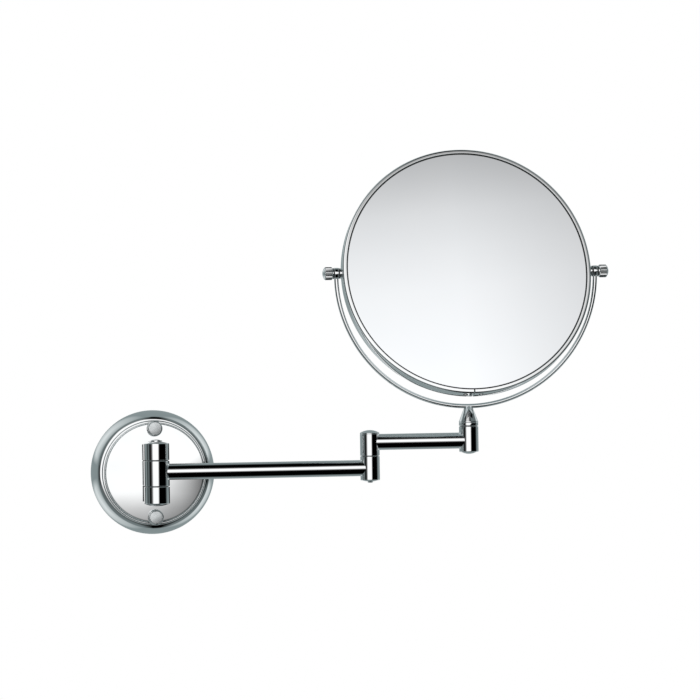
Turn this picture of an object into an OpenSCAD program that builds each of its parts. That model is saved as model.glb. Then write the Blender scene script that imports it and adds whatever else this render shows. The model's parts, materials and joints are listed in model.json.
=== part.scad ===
// Wall-mounted extendable shaving mirror: a round wall plate, two swinging arms and a two-sided tilting mirror.
// The origin is the centre of the wall plate's back face. The wall is the plane y = 0, and the mirror stands
// out of it towards -Y. The arms lie along +X and +Z is up.

/* [Wall plate] */
// Outer diameter of the plate at the wall
plate_d = 101.6; // [101:0.2:104]
// Depth of the plate from the wall to the edge of its front disc
plate_depth = 24; // [22:0.5:26]
// Height of the front disc's crown over its edge
disc_crown = 1.5; // [1:0.1:1.8]
// Thickness of the pressed sheet
plate_wall = 1.5; // [1:0.1:1.8]
// Distance between the two wall screws
screw_spacing = 72; // [70:0.5:72]
// Length of screw thread that goes into the wall
screw_reach = 30; // [20:1:50]

/* [Wall joint] */
// Distance from the wall to the plane of the posts and arms
arm_plane = 40; // [39:0.5:50]
// Diameter of the wall post
post_d = 20.8; // [20:0.2:22]
// Height of the wall post over its two domed ends
post_h = 52.8; // [52:0.4:56]
// Height of the turning hub in the middle of the post
hub_h = 20.4; // [19:0.2:22]

/* [Arms] */
// Outer diameter of both arm tubes
tube_d = 13; // [12.6:0.1:13.4]
// Wall of both arm tubes
tube_wall = 1.05; // [1:0.05:1.2]
// Wall post axis to elbow axis
arm_1_length = 174; // [140:0.5:220]
// Elbow axis to stem axis
arm_2_length = 82; // [70:0.5:120]
// Height of the first arm over the centre of the wall post
arm_1_rise = 1.2; // [0:0.1:1.5]
// Height of the second arm over the first
arm_2_rise = 21; // [20:0.1:21]

/* [Elbow and stem] */
// Diameter of the elbow and stem barrels
barrel_d = 15.8; // [15.6:0.1:16.4]
// Diameter of the elbow pin
elbow_pin_d = 5; // [5:0.1:5.2]
// Diameter of the stem's spindle
spindle_d = 7.2; // [7:0.1:7.4]

/* [Yoke] */
// Diameter of the yoke's round rod
rod_d = 3.6; // [3.4:0.2:4]
// Bend radius of the yoke, to the middle of the rod
yoke_r = 107.5; // [107:0.5:109]
// Drop from the pivots to the centre of the yoke's bend
yoke_drop = 2; // [2:0.5:6]

/* [Mirror head] */
// Outer diameter of the mirror's hoop
hoop_d = 206; // [204:1:206]
// Depth of the hoop, front to back
hoop_depth = 14; // [14:0.5:16]
// Lean of the mirror's top towards the wall
mirror_tilt = 13; // [0:0.5:16]
// Radius of curvature of the magnifying side
dish_r = 1000; // [950:10:1500]

/* [Knobs] */
// Diameter of the knurled knobs
knob_d = 10.6; // [10:0.2:12]
// Length of the knobs
knob_l = 8.8; // [8:0.2:10]
// Number of knurls round a knob
knurl_count = 24; // [16:1:30]

/* [Hidden] */
$fn = 96;
fine_fn = 1440;
eps = 0.01;
snug = 0.02;
running = 0.05;
end_gap = 0.1;
through = 40;

// wall plate, in depth from the wall and radius from its centre
plate_r = plate_d / 2;
disc_r = plate_r - 10.5;
disc_edge = 1.8;
crown_span = disc_r - disc_edge;
crown_ball = (crown_span * crown_span + disc_crown * disc_crown) / (2 * disc_crown);
shoulder_r = 4;
shoulder_lean = 56;
shoulder_at = [plate_r - 8.3, 11];
skirt_at = shoulder_at + shoulder_r * [sin(shoulder_lean), cos(shoulder_lean)];
skirt_r = (plate_r - skirt_at[0]) / (1 - sin(shoulder_lean));
bead_r = 1.3;
bead_at = [plate_r - 9.3, 16.1];
backing_r = plate_r - 4.2;
backing_t = 3;
seal_t = 2;
seal_gap = 0.3;
front_level = plate_depth + 1;

// wall screws, their sleeves and their caps
screw_z = screw_spacing / 2;
sleeve_r = 3.4;
sleeve_bore = 2.8;
sleeve_hole = 3.7;
shank_r = 2.5;
thread_r = 2.25;
tip_h = 4;
screw_head_r = 4.2;
screw_head_h = 2.4;
cup_r = 6.4;
cup_t = 1.6;
cup_rim_r = 4.95;
cup_rim_wall = 0.45;
cup_rim_h = 2.6;
cap_r = 5.8;
cap_h = 6.4;
cap_front = 1.2;

// wall joint
post_r = post_d / 2;
hub_top = hub_h / 2;
knuckle_gap = 0.5;
knuckle_low = hub_top + knuckle_gap;
post_dome = 2.2;
post_ball = (post_r * post_r + post_dome * post_dome) / (2 * post_dome);
neck_r = 5;
neck_z = 18.3;
foot_w = 14;
foot_h = 50;
foot_t = 4;
post_edge = 0.4;
bracket_screw_r = 2.5;
bracket_screw_l = 15;
bracket_head_low = 0.2;
bracket_socket_r = 1.6;
neck_hole_l = bracket_screw_l + 1;
wall_pin_r = 3;
wall_pin_head_r = 4.8;
wall_pin_head_h = 1.5;
wall_pin_rim_h = 0.7;
pin_seat = post_h / 2 - 0.5;
nut_pocket_r = 6.2;
nut_pocket_top = 8 - post_h / 2;
wall_nut_h = 4.2;
wall_plug_h = 2.2;
washer_t = 0.3;
spring_h = 1;
wall_nut_low = nut_pocket_top - spring_h - wall_nut_h;

// arms
tube_r = tube_d / 2;
tube_bore = tube_r - tube_wall;
spigot_r = tube_bore - snug;
spigot_l = 14;
arm_1_z = arm_1_rise;
arm_2_z = arm_1_z + arm_2_rise;
elbow_x = arm_1_length;
stem_x = arm_1_length + arm_2_length;

// elbow, in height over the first arm's axis
barrel_r = barrel_d / 2;
barrel_round = 0.7;
lower_bottom = -10;
lower_top = 9.5;
upper_bottom = lower_top + knuckle_gap;
upper_top = 27.8;
upper_floor = 21;
elbow_pin_r = elbow_pin_d / 2;
elbow_bush_r = 4.2;
elbow_head_h = 2.5;
elbow_nut_r = 4.62;
elbow_nut_h = 3.6;
pocket_r = 5.8;
bottom_pocket_r = 6.6;
bottom_pocket_h = 6;
plug_t = 2;
nib_r = 2.2;
nib_h = 2;
plug_dome = 1;
top_cap_h = 3;
top_rim_h = 0.8;
top_skirt_h = 3;
top_skirt_wall = 0.6;

// stem, in height over the second arm's axis
stem_bottom = -9.4;
stem_top = 11.4;
stem_floor = -2;
stem_cap_dome = 1.6;
spindle_r = spindle_d / 2;
stem_bush_r = 5;
bush_flange_r = 7.2;
bush_flange_t = 0.5;
elbow_nut_low = upper_floor + bush_flange_t + end_gap + spring_h;
pin_proud = 0.6;
ring_low = stem_top + bush_flange_t + end_gap;
ring_h = 2.7;
cone_low = ring_low + ring_h;
cone_land = 0.8;
cone_tip_r = 3.1;
rod_rise = 28;
spindle_end = -3;
stem_screw_r = 2;
stem_screw_l = 11;
stem_head_r = 3.5;
stem_head_h = 2;
stem_hole_l = 13;
stem_washer_t = 1.2;

// yoke and pivots
rod_r = rod_d / 2;
pivot_z = arm_2_z + rod_rise + yoke_r + yoke_drop;
eye_r = 4.6;
pivot_r = 2.5;
eye_in = yoke_r - rod_r;
eye_out = yoke_r + rod_r;

// mirror head, with z along its own axis towards the room
hoop_r = hoop_d / 2;
hoop_half = hoop_depth / 2;
hoop_wall = 1;
hoop_round = 1.6;
lip_r = hoop_r - 3.4;
glass_r = hoop_r - 1.8;
glass_t = 3;
dish_t = 2.5;
sheet_t = 0.8;
sheet_r = hoop_r - 9;
bay_front = hoop_half - hoop_wall - glass_t;
bay_back = -(hoop_half - hoop_wall - dish_t);
spacer_in = glass_r - 4.2;
spacer_back = bay_back + 0.5;
spacer_front = bay_front - 0.1;
split_gap = 1.2;
lock_angle = 7;
lock_r = hoop_r - hoop_wall - end_gap;
lock_t = 3;
lock_screw_angle = 3.6;
lock_screw_r = 1.25;
lock_head_r = 2.3;
lock_head_h = 0.6;
bay_half = 2.85;
socket_half = 7;
socket_in = hoop_r - 6.5;
inner_gap = eye_in - hoop_r;
nylon_t = 0.5;
pivot_spacer_r = 4.2;

// knobs, along the tilt axis
knob_r = knob_d / 2;
knob_in = eye_out + nylon_t + 2 * end_gap;
knob_collar_r = 4.3;
knob_collar_h = 0.8;
knob_dome = 1.6;
knurl_depth = 0.5;

// Turns children so that their +Z points out of the wall into the room
module outwards() {
    rotate([90, 0, 0]) children();
}

// Places children at both wall screws, with +Z into the room
module at_screws() {
    for (side = [-1, 1])
        translate([0, 0, side * screw_z]) outwards() children();
}

module at_post() {
    translate([0, -arm_plane, 0]) children();
}

module at_elbow() {
    translate([elbow_x, -arm_plane, arm_1_z]) children();
}

module at_stem() {
    translate([stem_x, -arm_plane, arm_2_z]) children();
}

// Places children at the middle of the tilt axis, with +X along it
module at_pivots() {
    translate([stem_x, -arm_plane, pivot_z]) children();
}

// Places children in the mirror's own frame: +Z out of its front face, +Y towards its top
module at_head() {
    at_pivots() rotate([-mirror_tilt, 0, 0]) outwards() children();
}

// A cylinder along +X
module bar_x(r, from, to) {
    translate([from, 0, 0]) rotate([0, 90, 0]) cylinder(h = to - from, r = r);
}

// Half outline of a turned post with rounded outer corners
module post_half(r, low, high, low_round, high_round) {
    translate([0, low + low_round]) square([r, high - low - low_round - high_round]);
    translate([0, low]) square([r - low_round, low_round + eps]);
    translate([0, high - high_round - eps]) square([r - high_round, high_round + eps]);
    translate([r - low_round, low + low_round]) circle(low_round);
    translate([r - high_round, high - high_round]) circle(high_round);
}

module turned_post(r, low, high, low_round, high_round) {
    rotate_extrude() intersection() {
        post_half(r, low, high, low_round, high_round);
        translate([0, low]) square([r, high - low]);
    }
}

module ring(outer, inner, low, high) {
    translate([0, 0, low]) difference() {
        cylinder(h = high - low, r = outer);
        translate([0, 0, -1]) cylinder(h = high - low + 2, r = inner);
    }
}

// A coned spring washer, lying on the level low
module coned_washer(outer, inner, low, high, thick) {
    slope = high - low - thick;
    rotate_extrude() polygon([
        [inner, low + slope], [outer, low], [outer, low + thick], [inner, high]
    ]);
}

// A shallow dome over the level low
module lens(r, low, high) {
    rise = high - low;
    ball = (r * r + rise * rise) / (2 * rise);
    rotate_extrude() intersection() {
        translate([0, high - ball]) circle(ball, $fn = fine_fn);
        translate([0, low]) square([r, rise]);
    }
}

module hex_nut(corner, bore, low, high) {
    translate([0, 0, low]) difference() {
        cylinder(h = high - low, r = corner, $fn = 6);
        translate([0, 0, -1]) cylinder(h = high - low + 2, r = bore);
    }
}

// Half outline of the wall plate, drawn smaller by the sheet's thickness for its inside
module plate_half(inset) {
    intersection() {
        translate(skirt_at - skirt_r * [sin(shoulder_lean), cos(shoulder_lean)])
            circle(skirt_r - inset, $fn = fine_fn);
        translate([0, -inset]) square([plate_r, skirt_at[1] + inset]);
    }
    translate(shoulder_at) circle(shoulder_r - inset);
    translate([0, -inset]) square([shoulder_at[0], shoulder_at[1] + shoulder_r]);
    intersection() {
        post_half(disc_r - inset, 0, plate_depth + disc_crown - inset, eps, disc_edge - inset / 2);
        translate([0, plate_depth + disc_crown - crown_ball])
            circle(crown_ball - inset, $fn = fine_fn);
        square([plate_r, 2 * plate_depth]);
    }
}

module wall_plate() {
    color("silver") outwards() difference() {
        rotate_extrude() difference() {
            intersection() {
                union() {
                    plate_half(0);
                    translate(bead_at) circle(bead_r);
                }
                square([plate_r, 2 * plate_depth]);
            }
            plate_half(plate_wall);
        }
        for (side = [-1, 1]) {
            translate([0, side * screw_z, 0]) cylinder(h = 2 * plate_depth, r = sleeve_hole);
            translate([0, side * neck_z, 0]) cylinder(h = 2 * plate_depth, r = neck_r + seal_gap);
        }
    }
}

module plate_seal() {
    color("dimgray") outwards() ring(backing_r + seal_t, backing_r + seal_gap, 0, seal_t);
}

module backing_plate() {
    color("lightsteelblue") outwards() difference() {
        cylinder(h = backing_t, r = backing_r);
        for (side = [-1, 1]) {
            translate([0, side * screw_z, -1]) cylinder(h = backing_t + 2, r = sleeve_bore);
            translate([0, side * neck_z, -1]) cylinder(h = backing_t + 2, r = bracket_screw_r + snug);
            translate([0, side * neck_z, -eps])
                cylinder(h = backing_t - 1 + eps, r = 2 * bracket_screw_r);
        }
    }
}

module screw_sleeves() {
    color("lightsteelblue") at_screws() ring(sleeve_r, sleeve_bore, backing_t, front_level);
}

module wall_screws() {
    head_low = front_level + cup_t;
    color("gainsboro") at_screws() difference() {
        union() {
            cylinder(h = head_low, r = shank_r);
            lens(screw_head_r, head_low, head_low + screw_head_h);
            translate([0, 0, tip_h - screw_reach]) cylinder(h = screw_reach - tip_h, r = thread_r);
            translate([0, 0, -screw_reach]) cylinder(h = tip_h, r1 = 0.4, r2 = thread_r);
        }
        for (turn = [0, 90])
            rotate([0, 0, turn]) translate([-2, -0.5, head_low + 1]) cube([4, 1, screw_head_h]);
    }
}

module cup_washers() {
    color("silver") at_screws() {
        difference() {
            turned_post(cup_r, front_level, front_level + cup_t, 0.1, 0.8);
            translate([0, 0, front_level - 1]) cylinder(h = cup_t + 2, r = sleeve_bore);
        }
        ring(cup_rim_r, cup_rim_r - cup_rim_wall, front_level + cup_t - eps,
             front_level + cup_t + cup_rim_h);
    }
}

module screw_caps() {
    cap_low = front_level + cup_t + snug;
    color("silver") at_screws() difference() {
        turned_post(cap_r, cap_low, cap_low + cap_h, 0.2, 1);
        translate([0, 0, cap_low - 1]) cylinder(h = cap_h + 1 - cap_front, r = cup_rim_r + snug);
    }
}

// The upper half of the post's knuckles, domed and with a flat seat for the pin's head
module knuckle() {
    rotate_extrude() intersection() {
        post_half(post_r, knuckle_low, pin_seat, post_edge, eps);
        translate([0, knuckle_low]) square([post_r, post_h]);
        translate([0, post_h / 2 - post_ball]) circle(post_ball, $fn = fine_fn);
    }
}

module wall_bracket() {
    color("silver") difference() {
        union() {
            at_post() for (side = [0, 1])
                mirror([0, 0, side]) knuckle();
            for (side = [-1, 1])
                translate([0, 0, side * neck_z]) outwards()
                    translate([0, 0, backing_t + eps]) cylinder(h = arm_plane - backing_t, r = neck_r);
            translate([-foot_w / 2, -backing_t - foot_t, -foot_h / 2])
                cube([foot_w, foot_t, foot_h]);
        }
        at_post() {
            translate([0, 0, -post_h]) cylinder(h = 2 * post_h, r = wall_pin_r + snug);
            translate([0, 0, -post_h]) cylinder(h = post_h + nut_pocket_top, r = nut_pocket_r);
        }
        for (side = [-1, 1])
            translate([0, 0, side * neck_z]) outwards()
                cylinder(h = neck_hole_l, r = bracket_screw_r + snug);
    }
}

module bracket_screws() {
    head_h = backing_t - 1 - bracket_head_low;
    color("gainsboro") for (side = [-1, 1])
        translate([0, 0, side * neck_z]) outwards() difference() {
            union() {
                translate([0, 0, bracket_head_low])
                    cylinder(h = head_h, r = 2 * bracket_screw_r - seal_gap);
                translate([0, 0, head_h]) cylinder(h = bracket_screw_l - head_h, r = bracket_screw_r);
            }
            cylinder(h = head_h / 2, r = bracket_socket_r, $fn = 6);
        }
}

module wall_pin() {
    low = wall_nut_low - end_gap;
    rim = pin_seat + wall_pin_rim_h;
    color("silver") at_post() {
        translate([0, 0, low]) cylinder(h = pin_seat + 2 * eps - low, r = wall_pin_r);
        translate([0, 0, pin_seat + eps]) cylinder(h = wall_pin_rim_h, r = wall_pin_head_r);
        lens(wall_pin_head_r, rim, pin_seat + wall_pin_head_h);
    }
}

module wall_spring_washer() {
    low = nut_pocket_top - spring_h;
    color("gainsboro") at_post()
        coned_washer(nut_pocket_r - 0.4, wall_pin_r + 0.1, low, nut_pocket_top, 0.6);
}

module wall_pin_nut() {
    color("gainsboro") at_post() hex_nut(nut_pocket_r - 0.45, wall_pin_r + snug, wall_nut_low,
                                         nut_pocket_top - spring_h);
}

module wall_post_plug() {
    color("silver") at_post() rotate_extrude() intersection() {
        translate([0, post_ball - post_h / 2]) circle(post_ball, $fn = fine_fn);
        translate([0, -post_h / 2]) square([nut_pocket_r - snug, wall_plug_h]);
    }
}

module wall_friction_washers() {
    color("white") at_post() for (side = [0, 1])
        mirror([0, 0, side]) ring(post_r - 1, wall_pin_r + snug, hub_top + end_gap,
                                  hub_top + end_gap + washer_t);
}

module wall_hub() {
    color("silver") at_post() difference() {
        union() {
            turned_post(post_r, -hub_top, hub_top, post_edge, post_edge);
            translate([0, 0, arm_1_z]) bar_x(spigot_r, 0, post_r + spigot_l);
        }
        translate([0, 0, -post_h]) cylinder(h = 2 * post_h, r = wall_pin_r + 2);
    }
}

module hub_bush() {
    color("ivory") at_post() ring(wall_pin_r + 2 - snug, wall_pin_r + running, -hub_top, hub_top);
}

// A tube along +X between two posts, saddle-cut to their outsides
module arm_tube(length, first_r, last_r) {
    difference() {
        bar_x(tube_r, 0.6 * first_r, length - 0.5 * last_r);
        bar_x(tube_bore, 0, length);
        translate([0, 0, -post_h]) cylinder(h = 2 * post_h, r = first_r + snug);
        translate([length, 0, -post_h]) cylinder(h = 2 * post_h, r = last_r + snug);
    }
}

module arm_1_tube() {
    color("silver") translate([0, -arm_plane, arm_1_z]) arm_tube(arm_1_length, post_r, barrel_r);
}

module elbow_lower_barrel() {
    color("silver") at_elbow() difference() {
        union() {
            turned_post(barrel_r, lower_bottom, lower_top, barrel_round, 0.3);
            bar_x(spigot_r, -barrel_r - spigot_l, 0);
        }
        translate([0, 0, lower_bottom - 1]) cylinder(h = through, r = elbow_pin_r + snug);
        translate([0, 0, lower_bottom - 1]) cylinder(h = bottom_pocket_h + 1, r = bottom_pocket_r);
    }
}

module elbow_pin() {
    head_top = lower_bottom + bottom_pocket_h;
    color("gainsboro") at_elbow() {
        translate([0, 0, head_top - elbow_head_h])
            cylinder(h = elbow_head_h, r = elbow_nut_r, $fn = 6);
        translate([0, 0, head_top - eps])
            cylinder(h = elbow_nut_low + elbow_nut_h + pin_proud - head_top, r = elbow_pin_r);
    }
}

module elbow_friction_washer() {
    color("white") at_elbow() ring(barrel_r - 0.8, elbow_pin_r + snug, lower_top + end_gap,
                                   lower_top + end_gap + washer_t);
}

module elbow_spring_washer() {
    color("gainsboro") at_elbow()
        coned_washer(pocket_r - 0.9, elbow_pin_r + snug, elbow_nut_low - spring_h, elbow_nut_low, 0.5);
}

module elbow_nut() {
    color("gainsboro") at_elbow()
        hex_nut(elbow_nut_r, elbow_pin_r + snug, elbow_nut_low, elbow_nut_low + elbow_nut_h);
}

module elbow_bottom_cap() {
    color("silver") at_elbow() {
        translate([0, 0, lower_bottom]) cylinder(h = plug_t, r = bottom_pocket_r - snug);
        mirror([0, 0, 1]) lens(bottom_pocket_r - snug, -lower_bottom - eps, plug_dome - lower_bottom);
        turned_post(nib_r, lower_bottom - nib_h, lower_bottom + eps, 0.6, eps / 2);
    }
}

module elbow_upper_barrel() {
    color("silver") at_elbow() difference() {
        union() {
            turned_post(barrel_r, upper_bottom, upper_top, 0.3, 0.3);
            translate([0, 0, arm_2_rise]) bar_x(spigot_r, 0, barrel_r + spigot_l);
        }
        translate([0, 0, upper_bottom - 1]) cylinder(h = through, r = elbow_bush_r);
        translate([0, 0, upper_floor]) cylinder(h = through, r = pocket_r);
    }
}

module elbow_bush() {
    color("ivory") at_elbow() difference() {
        union() {
            translate([0, 0, upper_bottom])
                cylinder(h = upper_floor - upper_bottom + eps, r = elbow_bush_r - snug);
            translate([0, 0, upper_floor]) cylinder(h = bush_flange_t, r = pocket_r - 0.2);
        }
        cylinder(h = through, r = elbow_pin_r + running);
    }
}

module elbow_top_cap() {
    skirt_low = upper_top - top_skirt_h;
    color("silver") at_elbow() difference() {
        union() {
            lens(barrel_r, upper_top + top_rim_h, upper_top + top_cap_h);
            turned_post(barrel_r, upper_top + eps, upper_top + top_rim_h + eps, 0.2, 0.1);
            translate([0, 0, skirt_low])
                cylinder(h = top_skirt_h + top_rim_h / 2, r = pocket_r - snug);
        }
        translate([0, 0, upper_top + 1.5 * top_rim_h - through])
            cylinder(h = through, r = pocket_r - top_skirt_wall);
    }
}

module arm_2_tube() {
    color("silver") translate([elbow_x, -arm_plane, arm_2_z])
        arm_tube(arm_2_length, barrel_r, barrel_r);
}

module stem_barrel() {
    color("silver") at_stem() difference() {
        union() {
            turned_post(barrel_r, stem_bottom, stem_top, barrel_round, 0.3);
            bar_x(spigot_r, -barrel_r - spigot_l, 0);
        }
        translate([0, 0, stem_bottom - 1]) cylinder(h = through, r = stem_bush_r);
        translate([0, 0, stem_bottom - 1])
            cylinder(h = stem_floor - stem_bottom + 1, r = nut_pocket_r);
    }
}

module stem_bush() {
    color("ivory") at_stem() difference() {
        union() {
            translate([0, 0, stem_floor])
                cylinder(h = stem_top - stem_floor + eps, r = stem_bush_r - snug);
            translate([0, 0, stem_top]) cylinder(h = bush_flange_t, r = bush_flange_r);
        }
        translate([0, 0, stem_floor - 1]) cylinder(h = through, r = spindle_r + running);
    }
}

module stem_bottom_cap() {
    color("silver") at_stem() {
        translate([0, 0, stem_bottom]) cylinder(h = plug_t, r = nut_pocket_r - snug);
        mirror([0, 0, 1]) lens(nut_pocket_r - snug, -stem_bottom - eps, stem_cap_dome - stem_bottom);
    }
}

module stem_cone() {
    color("silver") difference() {
        at_stem() difference() {
            union() {
                translate([0, 0, spindle_end])
                    cylinder(h = cone_low - spindle_end + eps, r = spindle_r);
                translate([0, 0, cone_low]) cylinder(h = cone_land, r = barrel_r);
                translate([0, 0, cone_low + cone_land - eps])
                    cylinder(h = rod_rise - cone_low - cone_land, r1 = barrel_r, r2 = cone_tip_r);
            }
            translate([0, 0, spindle_end - 1]) cylinder(h = stem_hole_l, r = stem_screw_r);
        }
        yoke_bend(rod_r + snug);
    }
}

module stem_ring() {
    color("silver") at_stem() difference() {
        turned_post(barrel_r, ring_low, cone_low - snug, 0.4, 0.4);
        translate([0, 0, ring_low - 1]) cylinder(h = ring_h + 2, r = spindle_r + snug);
    }
}

module stem_spring_washer() {
    color("gainsboro") at_stem()
        coned_washer(nut_pocket_r - 0.5, spindle_r + 0.1, spindle_end, stem_floor - end_gap, 0.4);
}

module stem_thrust_washer() {
    color("gainsboro") at_stem()
        ring(nut_pocket_r - 0.5, stem_screw_r + 0.1, spindle_end - stem_washer_t, spindle_end);
}

module stem_screw() {
    head_top = spindle_end - stem_washer_t;
    color("gainsboro") at_stem() difference() {
        union() {
            translate([0, 0, head_top - eps]) cylinder(h = stem_screw_l, r = stem_screw_r - snug);
            translate([0, 0, head_top - stem_head_h]) cylinder(h = stem_head_h, r = stem_head_r);
        }
        translate([0, 0, head_top - 2 * stem_head_h])
            cylinder(h = 1.6 * stem_head_h, r = 0.4 * stem_head_r, $fn = 6);
    }
}

// The yoke's half-round bend at a given rod radius
module yoke_bend(r) {
    at_pivots() translate([0, 0, -yoke_drop]) outwards()
        rotate_extrude(angle = 180, start = 180) translate([yoke_r, 0]) circle(r);
}

module yoke_rod() {
    color("silver") difference() {
        union() {
            yoke_bend(rod_r);
            at_pivots() for (side = [-1, 1])
                bar_x(eye_r, side * yoke_r - rod_r, side * yoke_r + rod_r);
        }
        at_pivots() bar_x(pivot_r - snug + running, -2 * yoke_r, 2 * yoke_r);
    }
}

// A radial hole or screw through the hoop, at an angle from its bottom
module at_hoop_edge(angle) {
    rotate([0, 0, angle - 90]) children();
}

module mirror_hoop() {
    color("silver") at_head() difference() {
        rotate_extrude() difference() {
            intersection() {
                post_half(hoop_r, -hoop_half, hoop_half, hoop_round, hoop_round);
                translate([lip_r, -hoop_half]) square([hoop_r, hoop_depth]);
            }
            translate([0, hoop_wall - hoop_half])
                square([hoop_r - hoop_wall, hoop_depth - 2 * hoop_wall]);
        }
        at_hoop_edge(0) translate([lip_r - 5, -split_gap / 2, -hoop_depth])
            cube([20, split_gap, 2 * hoop_depth]);
        for (side = [-1, 1])
            at_hoop_edge(side * lock_screw_angle) bar_x(lock_screw_r + snug, lip_r, hoop_r + 5);
        bar_x(pivot_r + 0.1, -2 * hoop_r, 2 * hoop_r);
    }
}

module hoop_lock_plate() {
    color("lightsteelblue") at_head() difference() {
        rotate([0, 0, -90 - lock_angle]) rotate_extrude(angle = 2 * lock_angle)
            translate([lock_r - lock_t, -bay_half]) square([lock_t, 2 * bay_half]);
        for (side = [-1, 1])
            at_hoop_edge(side * lock_screw_angle) bar_x(lock_screw_r, lip_r - 10, hoop_r + 5);
    }
}

module hoop_lock_screws() {
    color("gainsboro") at_head() for (side = [-1, 1])
        at_hoop_edge(side * lock_screw_angle) {
            bar_x(lock_screw_r - snug, lock_r - lock_t, hoop_r + 0.1);
            bar_x(lock_head_r, hoop_r + snug, hoop_r + lock_head_h);
        }
}

module front_mirror() {
    color("lightcyan") at_head() translate([0, 0, bay_front])
        cylinder(h = glass_t - snug, r = glass_r);
}

module backing_sheet() {
    color("gray") at_head() translate([0, 0, bay_front - sheet_t])
        cylinder(h = sheet_t - snug, r = sheet_r);
}

module glass_spacer() {
    color("dimgray") at_head() difference() {
        ring(glass_r, spacer_in, spacer_back, spacer_front);
        for (side = [-1, 1])
            translate([side * glass_r - 15, -socket_half - 1, -hoop_depth])
                cube([30, 2 * socket_half + 2, 2 * hoop_depth]);
        translate([-hoop_r * sin(lock_angle) - 2, -hoop_r - 5, -hoop_depth])
            cube([2 * hoop_r * sin(lock_angle) + 4, 20, 2 * hoop_depth]);
    }
}

module rear_mirror() {
    edge = hoop_half - hoop_wall - snug;
    centre = -edge - sqrt(dish_r * dish_r - glass_r * glass_r);
    color("lightcyan") at_head() rotate_extrude() intersection() {
        difference() {
            translate([0, centre + dish_t]) circle(dish_r, $fn = 2 * fine_fn);
            translate([0, centre]) circle(dish_r, $fn = 2 * fine_fn);
        }
        translate([0, -hoop_half]) square([glass_r, hoop_depth]);
    }
}

module pivot_sockets() {
    color("lightsteelblue") at_head() for (turn = [0, 180])
        rotate([0, 0, turn]) difference() {
            intersection() {
                translate([socket_in, -socket_half, -bay_half])
                    cube([20, 2 * socket_half, 2 * bay_half]);
                cylinder(h = hoop_depth, r = lock_r, center = true, $fn = fine_fn);
            }
            bar_x(pivot_r + snug, socket_in - 5, hoop_r + 5);
        }
}

module pivot_spacers() {
    color("silver") at_head() for (turn = [0, 180])
        rotate([0, 0, turn]) difference() {
            bar_x(pivot_spacer_r, hoop_r - 2, hoop_r + inner_gap - nylon_t - 2 * end_gap);
            cylinder(h = hoop_depth, r = hoop_r + snug, center = true, $fn = fine_fn);
            bar_x(pivot_r + snug, hoop_r - 5, hoop_r + 5);
        }
}

// A nylon washer on each pivot screw, from the given distance outwards
module nylon_pair(from) {
    at_pivots() for (turn = [0, 180])
        rotate([0, 0, turn]) difference() {
            bar_x(pivot_spacer_r + 0.2, from, from + nylon_t);
            bar_x(pivot_r + snug, from - 1, from + nylon_t + 1);
        }
}

module inner_washers() {
    color("white") nylon_pair(eye_in - nylon_t - end_gap);
}

module outer_washers() {
    color("white") nylon_pair(eye_out + end_gap);
}

// Outline of the knurled part of a knob
module knurl_outline() {
    difference() {
        circle(knob_r);
        for (i = [0:knurl_count - 1])
            rotate([0, 0, i * 360 / knurl_count]) translate([knob_r, 0])
                rotate([0, 0, 45]) square(sqrt(2) * knurl_depth, center = true);
    }
}

module knob() {
    knurl_low = knob_in + knob_collar_h;
    knurl_high = knob_in + knob_l - knob_dome;
    at_pivots() rotate([0, 90, 0]) difference() {
        union() {
            translate([0, 0, knob_in]) cylinder(h = knob_collar_h + eps, r = knob_collar_r);
            translate([0, 0, knurl_low]) linear_extrude(knurl_high - knurl_low) knurl_outline();
            lens(knob_r - knurl_depth, knurl_high - eps, knob_in + knob_l);
        }
        translate([0, 0, knob_in - 1]) cylinder(h = knob_l - 1.5, r = pivot_r);
    }
}

module pivot_screw() {
    at_pivots() bar_x(pivot_r - snug, socket_in - 1, knob_in + knob_l - 3);
}

// Turns a piece of the right pivot round to the left
module left_side() {
    translate([2 * stem_x, -2 * arm_plane, 0]) rotate([0, 0, 180]) children();
}

module knob_left() {
    color("silver") left_side() knob();
}

module pivot_screw_left() {
    color("gainsboro") left_side() pivot_screw();
}

module knob_right() {
    color("silver") knob();
}

module pivot_screw_right() {
    color("gainsboro") pivot_screw();
}

wall_plate();
plate_seal();
backing_plate();
screw_sleeves();
wall_screws();
cup_washers();
screw_caps();
wall_bracket();
bracket_screws();
wall_pin();
wall_spring_washer();
wall_pin_nut();
wall_post_plug();
wall_friction_washers();
wall_hub();
hub_bush();
arm_1_tube();
elbow_lower_barrel();
elbow_pin();
elbow_friction_washer();
elbow_spring_washer();
elbow_nut();
elbow_bottom_cap();
elbow_upper_barrel();
elbow_bush();
elbow_top_cap();
arm_2_tube();
stem_barrel();
stem_bush();
stem_bottom_cap();
stem_cone();
stem_ring();
stem_spring_washer();
stem_thrust_washer();
stem_screw();
yoke_rod();
mirror_hoop();
hoop_lock_plate();
hoop_lock_screws();
front_mirror();
backing_sheet();
glass_spacer();
rear_mirror();
pivot_sockets();
pivot_spacers();
inner_washers();
outer_washers();
knob_left();
pivot_screw_left();
knob_right();
pivot_screw_right();
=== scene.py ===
import json
import math

import bmesh
import bpy
from mathutils import Matrix, Vector

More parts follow.
